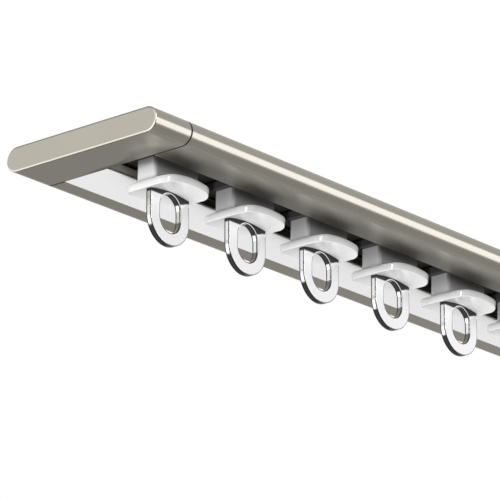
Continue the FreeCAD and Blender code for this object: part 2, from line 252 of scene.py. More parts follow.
# Track profile: one aluminium extrusion with full-round edges, a slot for
# the gliders and a run for the ceiling screws, with a satin nickel finish.
MM = 0.001
TRACK_END = 180.0
SEAM = 168.1
FRONT = -33.6
REAR = 11.4
UNDERSIDE = -6.0
SLOT_LINE = -15.6
SLOT_HALF_WIDTH = 6.55
SLOT_FRONT = SLOT_LINE - SLOT_HALF_WIDTH
SLOT_REAR = SLOT_LINE + SLOT_HALF_WIDTH
LEDGE_TOP = -3.8
FLOOR_TOP = -4.9
ROOF_UNDER = -1.2
SCREW_SPACING = 240.0
SCREW_HOLE_RADIUS = 2.2
EDGE_ROUND = 3.0
HOLLOW_ROUND = 1.85
LIP_ROUND = 0.14
INNER_ROUND = 0.06
SECTION_STEPS_PER_TURN = 96
# A flat strip of this width beside each round keeps the wide flat faces from being shaded as curved ones.
FLAT_EDGE = 0.08


def rounded_outline(corners):
    """Outline of a polygon whose corners (across, up, radius) are rounded, as a list of points."""
    points = []
    count = len(corners)
    for index, (x, y, radius) in enumerate(corners):
        before = corners[index - 1]
        after = corners[(index + 1) % count]
        back = math.atan2(before[1] - y, before[0] - x)
        ahead = math.atan2(after[1] - y, after[0] - x)
        opening = (ahead - back + math.pi) % (2 * math.pi) - math.pi
        reach = radius / abs(math.tan(opening / 2))
        middle = back + opening / 2
        from_corner = radius / abs(math.sin(opening / 2))
        centre = (x + from_corner * math.cos(middle), y + from_corner * math.sin(middle))
        start = math.atan2(y + reach * math.sin(back) - centre[1], x + reach * math.cos(back) - centre[0])
        end = math.atan2(y + reach * math.sin(ahead) - centre[1], x + reach * math.cos(ahead) - centre[0])
        sweep = (end - start + math.pi) % (2 * math.pi) - math.pi
        steps = max(3, round(abs(sweep) / (2 * math.pi) * SECTION_STEPS_PER_TURN))
        run_in = FLAT_EDGE if reach + FLAT_EDGE < math.dist((x, y), before[:2]) / 2 else 0.0
        points.append((x + (reach + run_in) * math.cos(back), y + (reach + run_in) * math.sin(back)))
        for step in range(steps + 1):
            angle = start + sweep * step / steps
            points.append((centre[0] + radius * math.cos(angle), centre[1] + radius * math.sin(angle)))
        run_out = FLAT_EDGE if reach + FLAT_EDGE < math.dist((x, y), after[:2]) / 2 else 0.0
        points.append((x + (reach + run_out) * math.cos(ahead), y + (reach + run_out) * math.sin(ahead)))
    return [points[i] for i in range(len(points)) if math.dist(points[i], points[i - 1]) > 1e-5]


def outlines_object(name, outlines):
    """Loops of edges in the XY plane, in metres, as one mesh object."""
    mesh = bpy.data.meshes.new(name)
    points, edges = [], []
    for outline in outlines:
        first = len(points)
        points += [(x * MM, y * MM, 0.0) for x, y in outline]
        edges += [(first + i, first + (i + 1) % len(outline)) for i in range(len(outline))]
    mesh.from_pydata(points, edges, [])
    return placed(name, mesh)


def new_geometry_board(name, inputs):
    """A Geometry Nodes tree with named inputs, and a Wire for each of them."""
    tree = bpy.data.node_groups.new(name, "GeometryNodeTree")
    tree.interface.new_socket(name="Geometry", in_out="INPUT", socket_type="NodeSocketGeometry")
    for label, kind in inputs:
        tree.interface.new_socket(name=label, in_out="INPUT", socket_type=kind)
    tree.interface.new_socket(name="Geometry", in_out="OUTPUT", socket_type="NodeSocketGeometry")
    board = Board(tree)
    entry = board.node("NodeGroupInput").socket.node
    wires = {socket.name: Wire(board, socket) for socket in entry.outputs if socket.name}
    return board, wires


def made_by_tree(name, base, board, values):
    """Plain mesh object that a Geometry Nodes tree makes of a base object. The modifier is then removed."""
    modifier = base.modifiers.new("shape", "NODES")
    modifier.node_group = board.tree
    for item in board.tree.interface.items_tree:
        if item.item_type == "SOCKET" and item.in_out == "INPUT" and item.name in values:
            modifier[item.identifier] = values[item.name]
    base.update_tag()
    bpy.context.view_layer.update()
    evaluated = base.evaluated_get(bpy.context.evaluated_depsgraph_get())
    mesh = bpy.data.meshes.new_from_object(evaluated)
    base.modifiers.remove(modifier)
    mesh.name = name
    return placed(name, mesh)


def shade_by_angle(piece, degrees):
    """Smooth shading, with an edge kept sharp where its faces meet at more than the angle."""
    shape = bmesh.new()
    shape.from_mesh(piece.data)
    bmesh.ops.recalc_face_normals(shape, faces=shape.faces)
    for face in shape.faces:
        face.smooth = True
    for edge in shape.edges:
        edge.smooth = len(edge.link_faces) == 2 and edge.calc_face_angle(0.0) < math.radians(degrees)
    shape.to_mesh(piece.data)
    shape.free()


track_outline = rounded_outline([
    (REAR, 0.0, EDGE_ROUND),
    (FRONT, 0.0, EDGE_ROUND),
    (FRONT, UNDERSIDE, EDGE_ROUND),
    (SLOT_FRONT, UNDERSIDE, LIP_ROUND),
    (SLOT_FRONT, LEDGE_TOP, LIP_ROUND),
    (-22.95, LEDGE_TOP, LIP_ROUND),
    (-22.95, FLOOR_TOP, INNER_ROUND),
    (-24.65, FLOOR_TOP, INNER_ROUND),
    (-24.65, ROOF_UNDER, INNER_ROUND),
    (-6.55, ROOF_UNDER, INNER_ROUND),
    (-6.55, LEDGE_TOP, INNER_ROUND),
    (SLOT_REAR, LEDGE_TOP, LIP_ROUND),
    (SLOT_REAR, UNDERSIDE, LIP_ROUND),
    (-8.45, UNDERSIDE, LIP_ROUND),
    (-8.45, -4.7, INNER_ROUND),
    (-4.95, -4.7, LIP_ROUND),
    (-4.95, LEDGE_TOP, LIP_ROUND),
    (-5.55, LEDGE_TOP, INNER_ROUND),
    (-5.55, ROOF_UNDER, INNER_ROUND),
    (10.25, ROOF_UNDER, HOLLOW_ROUND),
    (10.25, FLOOR_TOP, HOLLOW_ROUND),
    (4.7, FLOOR_TOP, INNER_ROUND),
    (4.7, UNDERSIDE, LIP_ROUND),
    (REAR, UNDERSIDE, EDGE_ROUND),
])
front_hollow = rounded_outline([
    (-32.45, ROOF_UNDER, HOLLOW_ROUND),
    (-25.65, ROOF_UNDER, HOLLOW_ROUND),
    (-25.65, FLOOR_TOP, HOLLOW_ROUND),
    (-32.45, FLOOR_TOP, HOLLOW_ROUND),
])

extrusion, size_of = new_geometry_board("extruded_length", [
    ("Length", "NodeSocketFloat"),
    ("Screw Holes", "NodeSocketInt"),
    ("Screw Spacing", "NodeSocketFloat"),
    ("Screw Hole Radius", "NodeSocketFloat"),
    ("Finish", "NodeSocketMaterial"),
])
loops = extrusion.node("GeometryNodeMeshToCurve", sockets={"Mesh": size_of["Geometry"]})
section = extrusion.node("GeometryNodeFillCurve", sockets={"Curve": loops})
pulled = extrusion.node(
    "GeometryNodeExtrudeMesh",
    sockets={
        "Mesh": section,
        "Offset": extrusion.node("ShaderNodeCombineXYZ", sockets={"Z": 1.0}),
        "Offset Scale": size_of["Length"],
        "Individual": False,
    },
)
back_end = extrusion.node("GeometryNodeFlipFaces", sockets={"Mesh": section})
bar_parts = extrusion.node("GeometryNodeJoinGeometry")
for part in (pulled, back_end):
    extrusion.tree.links.new(part.socket, bar_parts.socket.node.inputs[0])
bar = extrusion.node("GeometryNodeMergeByDistance", sockets={"Geometry": bar_parts, "Distance": 1e-7})
half_back = extrusion.node("ShaderNodeCombineXYZ", sockets={"X": size_of["Length"] * -0.5})
laid = extrusion.node(
    "GeometryNodeTransform",
    sockets={
        "Geometry": bar,
        "Translation": half_back,
        "Rotation": (math.radians(90.0), 0.0, math.radians(90.0)),
    },
)
first_hole = extrusion.node("ShaderNodeCombineXYZ", sockets={"X": size_of["Screw Spacing"] * -0.5})
hole_step = extrusion.node("ShaderNodeCombineXYZ", sockets={"X": size_of["Screw Spacing"]})
hole_spots = extrusion.node(
    "GeometryNodeMeshLine",
    sockets={"Count": size_of["Screw Holes"], "Start Location": first_hole, "Offset": hole_step},
)
drill = extrusion.node(
    "GeometryNodeMeshCylinder",
    sockets={"Vertices": 48, "Radius": size_of["Screw Hole Radius"], "Depth": 3.0 * MM},
)
drills = extrusion.node("GeometryNodeInstanceOnPoints", sockets={"Points": hole_spots, "Instance": drill})
drill_meshes = extrusion.node("GeometryNodeRealizeInstances", sockets={"Geometry": drills})
drilled = extrusion.node(
    "GeometryNodeMeshBoolean",
    {"operation": "DIFFERENCE", "solver": "EXACT"},
    {"Mesh 1": laid, "Mesh 2": drill_meshes},
)
cut_bar = extrusion.node(
    "GeometryNodeSwitch",
    {"input_type": "GEOMETRY"},
    {
        "Switch": extrusion.node(
            "FunctionNodeCompare",
            {"data_type": "INT", "operation": "GREATER_THAN"},
            {2: size_of["Screw Holes"], 3: 0},
        ),
        "False": laid,
        "True": drilled,
    },
)
realised = extrusion.node("GeometryNodeRealizeInstances", sockets={"Geometry": cut_bar})
finished = extrusion.node(
    "GeometryNodeSetMaterial", sockets={"Geometry": realised, "Material": size_of["Finish"]}
)
extrusion.node("NodeGroupOutput", sockets={"Geometry": finished})


def object_axes(board):
    """Object coordinates of a piece, and their X, Y and Z each by itself."""
    place = board.node("ShaderNodeTexCoord", output="Object")
    return place, *[
        board.node("ShaderNodeSeparateXYZ", sockets={"Vector": place}, output=axis) for axis in "XYZ"
    ]


def metal_finish(name, lines_along):
    """Satin nickel on aluminium, with fine lines along X where the piece was extruded.

    The metal is black at the joint of a cap, and painted black inside the glider run, where it stands in for
    shade.
    Painted shade darkens the underside round the slot, and the lips of the slot near the caps are dull.
    """
    material, board = material_board(name)
    place, along, across, up = object_axes(board)
    drawn = board.node("ShaderNodeMapping", sockets={"Vector": place, "Scale": (lines_along, 2600.0, 2600.0)})
    lines = board.noise(drawn, 1.0, 3.0)
    broad = board.noise(place, 60.0, 2.0)
    grain = board.noise(place, 9000.0, 1.0)
    from_middle = board.maths("ABSOLUTE", along)
    # Painted shade: inside the glider run the metal is painted black, with no shine.
    inside = (
        board.fade(from_middle, (TRACK_END - 0.6) * MM, (TRACK_END - 0.8) * MM)
        * board.fade(up, -4.3 * MM, -3.9 * MM)
        * board.fade(up, -0.9 * MM, -1.1 * MM)
        * board.fade(across, -25.0 * MM, -24.8 * MM)
        * board.fade(across, -6.1 * MM, -6.4 * MM)
    )
    off_seam = board.maths("ABSOLUTE", from_middle - SEAM * MM)
    underside = board.fade(up, -5.6 * MM, -5.9 * MM)
    # The painted shade reaches less far over a cap than along the slot, and least far behind the slot.
    onto_cap = (from_middle - SEAM * MM) * board.fade(across, -20.0 * MM, -10.0 * MM, 1.4, 5.0)
    past_seam = board.maths("MAXIMUM", onto_cap, 0.0)
    off_slot = board.maths("ABSOLUTE", across - SLOT_LINE * MM) - SLOT_HALF_WIDTH * MM
    past_lip = board.maths("MAXIMUM", off_slot, 0.0)
    dull_lip = (
        board.fade(from_middle, (SEAM - 30.0) * MM, (SEAM - 5.0) * MM)
        * board.fade(from_middle, (SEAM + 0.2) * MM, (SEAM + 0.1) * MM)
        * board.fade(off_slot, 0.2 * MM, 0.1 * MM)
        * board.fade(up, -3.6 * MM, -3.8 * MM)
        * (1.0 - underside)
    )
    off_opening = board.maths("SQRT", past_seam * past_seam + past_lip * past_lip)
    # Painted shade on the underside round the slot opening, darkest within a few millimetres of it.
    painted_slot_shade = board.fade(off_opening, 8.8 * MM, 3.5 * MM) * underside * (0.45 + broad * 0.2)
    joint = board.fade(off_seam, 0.3 * MM, 0.22 * MM)
    # Black of the dark joint of a cap, together with the painted shade inside the glider run.
    black = 1.0 - (1.0 - joint) * (1.0 - inside)
    nickel = board.blend(lines * 0.6 + broad * 0.4, (0.575, 0.545, 0.465, 1.0), (0.635, 0.60, 0.52, 1.0))
    darkened = board.blend(painted_slot_shade, nickel, (0.05, 0.048, 0.04, 1.0))
    satin = 0.14 + lines * 0.06 + broad * 0.04 + underside * 0.12
    board.surface({
        "Base Color": board.blend(black, darkened, (0.015, 0.014, 0.012, 1.0)),
        "Metallic": (1.0 - black) * (1.0 - dull_lip * 0.8),
        "Roughness": satin + black * 0.4 + dull_lip * 0.4,
        "Normal": board.fine_bump(0.05, lines * 0.6 + grain * 0.4),
    })
    return material


track_metal = metal_finish("satin_track_metal", lines_along=9.0)
track_base = outlines_object("track_section", [track_outline, front_hollow])
track = made_by_tree("track_profile_satin", track_base, extrusion, {
    "Length": SEAM * 2 * MM,
    "Screw Holes": 2,
    "Screw Spacing": SCREW_SPACING * MM,
    "Screw Hole Radius": SCREW_HOLE_RADIUS * MM,
    "Finish": track_metal,
})
bpy.data.objects.remove(track_base)
shade_by_angle(track, 40.0)
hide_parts("track_profile")
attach(track, "track")


# Cover strip: an extruded white plastic strip that snaps into the underside
# and hides the ceiling screws. Two barbed legs hold it, level with the metal.
STRIP_ROUND = 0.12
STRIP_TOP = -5.0

strip_outline = rounded_outline([
    (4.6, UNDERSIDE, STRIP_ROUND),
    (-8.35, UNDERSIDE, STRIP_ROUND),
    (-8.35, STRIP_TOP, STRIP_ROUND),
    (-4.85, STRIP_TOP, INNER_ROUND),
    (-4.85, -3.7, INNER_ROUND),
    (-5.25, -3.7, INNER_ROUND),
    (-4.85, -2.9, INNER_ROUND),
    (-4.05, -2.9, STRIP_ROUND),
    (-4.05, STRIP_TOP, INNER_ROUND),
    (3.8, STRIP_TOP, INNER_ROUND),
    (3.8, -4.0, STRIP_ROUND),
    (4.6, -4.0, INNER_ROUND),
    (5.0, -4.8, INNER_ROUND),
    (4.6, -4.8, INNER_ROUND),
])


def plastic_finish(name, low_tone, high_tone, roughness, lines_along, painted_shade=None):
    """White moulded or extruded plastic: a fine grain, faint lines along X and a trace of mottling.

    A last argument, if given, is a function of the board and the three axes that gives the share of
    painted shade, in near black.
    """
    material, board = material_board(name)
    place, *axes = object_axes(board)
    drawn = board.node("ShaderNodeMapping", sockets={"Vector": place, "Scale": (lines_along, 1800.0, 1800.0)})
    lines = board.noise(drawn, 1.0, 2.0)
    mottle = board.noise(place, 220.0, 3.0)
    grain = board.noise(place, 7000.0, 2.0)
    colour = board.blend(mottle * 0.6 + lines * 0.4, low_tone, high_tone)
    # Painted shade: the colour goes towards near black by the share that the last argument gives.
    if painted_shade:
        colour = board.blend(painted_shade(board, *axes), colour, (0.02, 0.02, 0.02, 1.0))
    board.surface({
        "Base Color": colour,
        "Roughness": roughness + mottle * 0.08,
        "IOR": 1.49,
        "Normal": board.fine_bump(0.06, lines * 0.4 + grain * 0.6),
    })
    return material


strip_plastic = plastic_finish(
    "white_strip_plastic", (0.83, 0.83, 0.835, 1.0), (0.87, 0.87, 0.875, 1.0),
    roughness=0.36, lines_along=12.0,
)
strip_base = outlines_object("strip_section", [strip_outline])
strip = made_by_tree("cover_strip_white", strip_base, extrusion, {
    "Length": SEAM * 2 * MM,
    "Screw Holes": 0,
    "Screw Spacing": 0.0,
    "Screw Hole Radius": 1.0 * MM,
    "Finish": strip_plastic,
})
bpy.data.objects.remove(strip_base)
shade_by_angle(strip, 40.0)
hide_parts("cover_strip")
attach(strip, "track")


# End caps: solid die-cast caps of the track's own outline and finish, with a
# low bevelled rim, plugged into the open ends on two tongues.
CAP_RIM_WIDTH = 0.42
CAP_RIM_SLOPE = 16.0
CAP_RIM_START_ROUND = 0.12
CAP_RIM_END_ROUND = 0.16
CAP_RIM_STEPS = 5
CAP_CORNER_STEPS = 24
CAP_JOINT_BEVEL = 0.12
CAP_OVERLAP = 1.0
FRONT_TONGUE = (-32.35, -25.75, -4.8, -1.3, 1.75)
REAR_TONGUE = (-3.95, 8.4, -3.9, -1.3, 0.55)
TONGUE_LENGTH = 9.0
TONGUE_LEAD = 0.5
TONGUE_CORNER_STEPS = 10


def object_of(name, shape):
    """Object of a finished bmesh, whose faces are turned outward. The bmesh is then freed."""
    bmesh.ops.recalc_face_normals(shape, faces=shape.faces)
    mesh = bpy.data.meshes.new(name)
    shape.to_mesh(mesh)
    shape.free()
    return placed(name, mesh)


def loft(rings):
    """Closed mesh through rings of points of equal count, in millimetres, with both ends filled."""
    shape = bmesh.new()
    rows = [[shape.verts.new((x * MM, y * MM, z * MM)) for x, y, z in ring] for ring in rings]
    count = len(rings[0])
    for low, high in zip(rows, rows[1:]):
        for i in range(count):
            j = (i + 1) % count
            shape.faces.new((low[i], low[j], high[j], high[i]))
    shape.faces.new(rows[0])
    shape.faces.new(rows[-1])
    return object_of("loft", shape)


def combined(name, base, steps):
    """One closed mesh of a base and other solids, each joined to it or cut from it in turn."""
    for operation, tool in steps:
        modifier = base.modifiers.new("combine", "BOOLEAN")
        modifier.operation = operation
        modifier.solver = "EXACT"
        modifier.object = tool
    bpy.context.view_layer.update()
    evaluated = base.evaluated_get(bpy.context.evaluated_depsgraph_get())
    mesh = bpy.data.meshes.new_from_object(evaluated)
    mesh.name = name
    for used in [base] + [tool for _, tool in steps]:
        bpy.data.objects.remove(used)
    return placed(name, mesh)


def bar_ring(x, front, rear, low, high, radius, inset, steps):
    """Ring across the track at x: a rectangle with rounded corners, moved in by an inset."""
    round_now = radius - inset
    centres = [
        (rear - radius, high - radius, 0.0),
        (front + radius, high - radius, 0.5),
        (front + radius, low + radius, 1.0),
        (rear - radius, low + radius, 1.5),
    ]
    ring = []
    for y, z, turn in centres:
        for step in range(steps + 1):
            angle = math.pi * (turn + 0.5 * step / steps)
            ring.append((x, y + round_now * math.cos(angle), z + round_now * math.sin(angle)))
    return ring


def rim_walk():
    """Points (depth, inset) of the rim: a low bevel off the end face, rounded where it starts and ends."""
    slope = math.radians(CAP_RIM_SLOPE)
    rounded = CAP_RIM_START_ROUND * math.sin(slope) + CAP_RIM_END_ROUND * (1.0 - math.sin(slope))
    bevel = (CAP_RIM_WIDTH - rounded) / math.cos(slope)
    points = [(0.0, CAP_RIM_WIDTH + FLAT_EDGE)]
    depth, inset = 0.0, CAP_RIM_WIDTH
    for radius, low, high, straight in (
        (CAP_RIM_START_ROUND, 0.0, slope, bevel),
        (CAP_RIM_END_ROUND, slope, math.pi / 2, 0.0),
    ):
        for step in range(CAP_RIM_STEPS + 1):
            angle = low + (high - low) * step / CAP_RIM_STEPS
            points.append((
                depth + radius * (math.cos(low) - math.cos(angle)),
                inset - radius * (math.sin(angle) - math.sin(low)),
            ))
        depth, inset = points[-1]
        if straight:
            depth += straight * math.sin(high)
            inset -= straight * math.cos(high)
            points.append((depth - FLAT_EDGE / 2 * math.sin(high), inset + FLAT_EDGE / 2 * math.cos(high)))
    return points


def cap_rings(side):
    """Rings of a cap's block from its end face to its seam."""
    rings = [((TRACK_END - depth) * side, inset) for depth, inset in rim_walk()]
    rings.append((rings[-1][0] - FLAT_EDGE * side, 0.0))
    rings.append(((SEAM + CAP_JOINT_BEVEL) * side, 0.0))
    rings.append((SEAM * side, CAP_JOINT_BEVEL))
    return [
        bar_ring(x, FRONT, REAR, UNDERSIDE, 0.0, EDGE_ROUND, inset, CAP_CORNER_STEPS) for x, inset in rings
    ]


def tongue_rings(side, tongue):
    """Rings of a tongue (front, rear, low, high, radius) from inside the cap's block to its chamfered tip."""
    front, rear, low, high, radius = tongue
    narrowed = (
        front + TONGUE_LEAD, rear - TONGUE_LEAD, low + TONGUE_LEAD, high - TONGUE_LEAD, radius - TONGUE_LEAD
    )
    return [
        bar_ring(place * side, *shape, 0.0, TONGUE_CORNER_STEPS)
        for place, shape in (
            (SEAM + CAP_OVERLAP, tongue),
            (SEAM - TONGUE_LENGTH + TONGUE_LEAD, tongue),
            (SEAM - TONGUE_LENGTH, narrowed),
        )
    ]


cap_metal = metal_finish("satin_cap_metal", lines_along=500.0)
for cap_name, side in (("end_cap_left", -1), ("end_cap_right", 1)):
    block = loft(cap_rings(side))
    front_tongue = loft(tongue_rings(side, FRONT_TONGUE))
    rear_tongue = loft(tongue_rings(side, REAR_TONGUE))
    cap = combined(cap_name + "_satin", block, [("UNION", front_tongue), ("UNION", rear_tongue)])
    cap.data.materials.clear()
    cap.data.materials.append(cap_metal)
    shade_by_angle(cap, 35.0)
    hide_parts(cap_name)
    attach(cap, "track")


# Glider bodies: white injection-moulded plastic. A flat head runs on the two
# ledges of the track, a neck comes down through the slot, and an arched
# flange below it covers the seat of the eyelet.
GLIDER_COUNT = 8
FIRST_GLIDER = -155.8
GLIDER_PITCH = 26.7
HEAD_SHAPE = (8.0, 8.75, 2.0, 0.0)
HEAD_BAND = (-3.6, -1.5)
HEAD_RIM = 0.25
NECK_SHAPE = (7.5, 2.875, 0.86, 0.0)
NECK_TOP = -2.5
NECK_ROOT = 0.5
FOOT_ROUND = 0.4
FLANGE_SHAPE = (7.95, 7.0, 3.2, 0.4)
FLANGE_RIM = 0.25
FLANGE_DRAFT = 0.16
ARCH_CENTRE = -43.95
ARCH_UNDER = 34.0
ARCH_OVER = 35.75
PLAN_STEPS = 14
RIM_STEPS = 6
FOOT_STEPS = 8
SIDE_SHARES = (0.02, 0.12, 0.24, 0.36, 0.5, 0.64, 0.76, 0.88, 0.98)
FACE_SHARES = (0.04, 0.2, 0.36, 0.52, 0.68, 0.84, 0.985)
TANG_HALF_WIDTH = 2.5
TANG_TOP = -6.55
TANG_LOW = -10.2
TANG_SLOT_LOW = -11.5
TANG_SLOT_PLAY = 0.1
RING_HALF_THICKNESS = 0.775


def plan_ring(shape, inset, height):
    """Rounded rectangle seen from above, moved in by an inset (out, if negative); height gives z at each x.

    Its shape is (half length, half width, corner radius, bulge of the two long sides).
    """
    half_x, half_y, corner, bulge = shape
    radius = corner - inset
    corners = ((1, 1), (-1, 1), (-1, -1), (1, -1))
    spots = []
    for quarter, (sign_x, sign_y) in enumerate(corners):
        for step in range(PLAN_STEPS + 1):
            angle = math.pi / 2 * (quarter + step / PLAN_STEPS)
            spots.append((
                sign_x * (half_x - corner) + radius * math.cos(angle),
                sign_y * (half_y - corner) + radius * math.sin(angle),
            ))
        next_x, next_y = corners[(quarter + 1) % 4]
        turned = math.pi / 2 * (quarter + 1)
        start = spots[-1]
        end = (
            next_x * (half_x - corner) + radius * math.cos(turned),
            next_y * (half_y - corner) + radius * math.sin(turned),
        )
        for share in SIDE_SHARES:
            spots.append((start[0] + (end[0] - start[0]) * share, start[1] + (end[1] - start[1]) * share))
    ring = []
    for x, y in spots:
        swell = bulge * (1.0 - (x / half_x) ** 2) * y / half_y
        ring.append((x, y + swell, height(x)))
    return ring


def scaled_ring(ring, share, height):
    """Ring drawn in to a share of its size, on the surface that height gives."""
    return [(x * share, y * share, height(x * share)) for x, y, _ in ring]


def arch(radius):
    """Height of the flange's arched surface of that radius at each x."""
    return lambda x: ARCH_CENTRE + math.sqrt(radius * radius - x * x)


def quarter_round(radius, steps):
    """Points (inset, lift) of a quarter round, from the flat face where it starts to the upright one."""
    angles = [math.pi / 2 * step / steps for step in range(steps + 1)]
    return [(radius * (1.0 - math.sin(angle)), radius * (1.0 - math.cos(angle))) for angle in angles]


def plate(shape, rim, low, high, draft=0.0):
    """Closed plate with rounded edges between two surfaces that may be arched along x.

    The lower edge is moved in by the draft.
    """
    lower = [
        plan_ring(shape, inset + draft, lambda x, lift=lift: low(x) + lift)
        for inset, lift in quarter_round(rim, RIM_STEPS)
    ]
    upper = [
        plan_ring(shape, inset, lambda x, drop=drop: high(x) - drop)
        for inset, drop in reversed(quarter_round(rim, RIM_STEPS))
    ]
    under = [scaled_ring(lower[0], share, low) for share in FACE_SHARES]
    over = [scaled_ring(upper[-1], share, high) for share in reversed(FACE_SHARES)]
    return loft(under + lower + upper + over)


def neck_rings():
    """Rings of the neck from inside the flange, over its rounded foot, to inside the head."""
    over = arch(ARCH_OVER)
    rings = [plan_ring(NECK_SHAPE, -FOOT_ROUND, lambda x: over(x) - NECK_ROOT)]
    for inset, lift in quarter_round(FOOT_ROUND, FOOT_STEPS):
        rings.append(plan_ring(NECK_SHAPE, -inset, lambda x, lift=lift: over(x) + lift))
    rings.append(plan_ring(NECK_SHAPE, 0.0, lambda x: over(x) + FOOT_ROUND + FLAT_EDGE))
    rings.append(plan_ring(NECK_SHAPE, 0.0, lambda x: NECK_TOP))
    return rings


def box_rings(half_x, half_y, low, high):
    """Rings of a plain upright box."""
    return [
        [(half_x, half_y, z), (-half_x, half_y, z), (-half_x, -half_y, z), (half_x, -half_y, z)]
        for z in (low, high)
    ]


head = plate(HEAD_SHAPE, HEAD_RIM, lambda x: HEAD_BAND[0], lambda x: HEAD_BAND[1])
neck = loft(neck_rings())
flange = plate(FLANGE_SHAPE, FLANGE_RIM, arch(ARCH_UNDER), arch(ARCH_OVER), FLANGE_DRAFT)
tang_slot = loft(box_rings(TANG_HALF_WIDTH, RING_HALF_THICKNESS, TANG_SLOT_LOW, TANG_TOP + TANG_SLOT_PLAY))
body_master = combined("glider_body_master", flange, [
    ("UNION", neck),
    ("UNION", head),
    ("DIFFERENCE", tang_slot),
])

row_board, row_value = new_geometry_board("glider_row", [
    ("Gliders", "NodeSocketInt"),
    ("First Place", "NodeSocketFloat"),
    ("Pitch", "NodeSocketFloat"),
    ("Line", "NodeSocketFloat"),
    ("Which", "NodeSocketInt"),
    ("Finish", "NodeSocketMaterial"),
])
places = row_board.node(
    "GeometryNodeMeshLine",
    sockets={
        "Count": row_value["Gliders"],
        "Start Location": row_board.node(
            "ShaderNodeCombineXYZ", sockets={"X": row_value["First Place"], "Y": row_value["Line"]}
        ),
        "Offset": row_board.node("ShaderNodeCombineXYZ", sockets={"X": row_value["Pitch"]}),
    },
)
chosen = row_board.node(
    "FunctionNodeCompare",
    {"data_type": "INT", "operation": "EQUAL"},
    {2: row_board.node("GeometryNodeInputIndex"), 3: row_value["Which"]},
)
hung = row_board.node(
    "GeometryNodeInstanceOnPoints",
    sockets={"Points": places, "Selection": chosen, "Instance": row_value["Geometry"]},
)
row_realised = row_board.node("GeometryNodeRealizeInstances", sockets={"Geometry": hung})
row_finished = row_board.node(
    "GeometryNodeSetMaterial", sockets={"Geometry": row_realised, "Material": row_value["Finish"]}
)
row_board.node("NodeGroupOutput", sockets={"Geometry": row_finished})


def hang_row(master, ending, finish, node_ending):
    """Hang a copy of the master at each place of the row, on its own glider."""
    for number in range(GLIDER_COUNT):
        glider = "glider_%d" % (number + 1)
        piece = made_by_tree(glider + ending, master, row_board, {
            "Gliders": GLIDER_COUNT,
            "First Place": FIRST_GLIDER * MM,
            "Pitch": GLIDER_PITCH * MM,
            "Line": SLOT_LINE * MM,
            "Which": number,
            "Finish": finish,
        })
        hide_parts(glider + node_ending)
        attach(piece, glider)
    bpy.data.objects.remove(master)


def along_glider(board, x):
    """Place along its own glider of a point at x, for each glider of the row."""
    half_pitch = GLIDER_PITCH / 2 * MM
    return board.maths("WRAP", x - FIRST_GLIDER * MM, half_pitch, -half_pitch)


def glider_painted_shade(board, x, y, z):
    """Painted shade of the slot: near black on the head, darker up the neck, a little on the flange's top."""
    along = along_glider(board, x)
    off_line = board.maths("ABSOLUTE", y - SLOT_LINE * MM)
    flank = NECK_SHAPE[1]
    # Painted shade: the head's wings above the ledges are near black.
    wings = board.fade(z, -4.15 * MM, -4.05 * MM) * board.fade(off_line, flank * MM, (flank + 0.1) * MM)
    sides = board.fade(off_line, (flank - 0.9) * MM, (flank - 0.1) * MM, 0.4, 1.0)
    # Painted shade, darker up the neck towards the slot, and weaker on the neck's ends.
    painted_neck_shade = board.fade(z, -8.5 * MM, -4.4 * MM, 0.0, 0.84) * sides
    # Painted shade: the head, inside the track, is near black.
    deep = board.fade(z, -4.1 * MM, -3.7 * MM, 0.0, 0.9)
    over_centre = z - ARCH_CENTRE * MM
    arch_radius = board.maths("SQRT", along * along + over_centre * over_centre)
    off_top = board.maths("ABSOLUTE", arch_radius - ARCH_OVER * MM)
    # Painted shade on the flange's top and the upper part of its rim.
    top = board.fade(off_top, 1.0 * MM, 0.1 * MM, 0.0, 0.17)
    return 1.0 - (1.0 - painted_neck_shade) * (1.0 - deep) * (1.0 - wings) * (1.0 - top)


glider_plastic = plastic_finish(
    "white_glider_plastic", (0.86, 0.86, 0.865, 1.0), (0.89, 0.89, 0.895, 1.0),
    roughness=0.08, lines_along=300.0, painted_shade=glider_painted_shade,
)
shade_by_angle(body_master, 32.0)
hang_row(body_master, "_moulding", glider_plastic, "_body")


# Eyelets: stamped oblong steel rings with broken edges, chromed. The top
# follows the arch of the flange, and a tang is pressed up into the body.
RING_HALF_WIDTH = 6.4
RING_LOW_CENTRE = -16.25
HOLE_RADIUS = 3.45
HOLE_HIGH_CENTRE = -13.9
RING_EDGE = 0.1
RING_EDGE_STEPS = 4
RING_ARC_STEPS = 40
RING_SIDE_STEPS = 4
RING_TOP_STEPS = 24


def ring_stations():
    """Pairs of an outer and an inner point, each with its own outward direction, round the ring."""
    under = arch(ARCH_UNDER)
    side_top = under(RING_HALF_WIDTH)

    def side_station(side, step):
        share = step / RING_SIDE_STEPS
        outer_z = RING_LOW_CENTRE + (side_top - RING_LOW_CENTRE) * share
        inner_z = RING_LOW_CENTRE + (HOLE_HIGH_CENTRE - RING_LOW_CENTRE) * share
        return (RING_HALF_WIDTH * side, outer_z, side, 0.0), (HOLE_RADIUS * side, inner_z, side, 0.0)

    stations = []
    for step in range(RING_ARC_STEPS):
        angle = math.pi + math.pi * step / RING_ARC_STEPS
        across, up = math.cos(angle), math.sin(angle)
        stations.append((
            (RING_HALF_WIDTH * across, RING_LOW_CENTRE + RING_HALF_WIDTH * up, across, up),
            (HOLE_RADIUS * across, RING_LOW_CENTRE + HOLE_RADIUS * up, across, up),
        ))
    stations += [side_station(1.0, step) for step in range(RING_SIDE_STEPS)]
    for step in range(RING_TOP_STEPS + 1):
        angle = math.pi * step / RING_TOP_STEPS
        across, up = math.cos(angle), math.sin(angle)
        x = RING_HALF_WIDTH * across
        # A corner point moves in from the ring's side as well as from its top.
        corner = (step == 0) - (step == RING_TOP_STEPS)
        outer_up = math.sqrt(ARCH_UNDER * ARCH_UNDER - x * x) / ARCH_UNDER
        stations.append((
            (x, under(x), x / ARCH_UNDER + corner, outer_up),
            (HOLE_RADIUS * across, HOLE_HIGH_CENTRE + HOLE_RADIUS * up, across, up),
        ))
    stations += [side_station(-1.0, step) for step in range(RING_SIDE_STEPS - 1, 0, -1)]
    return stations


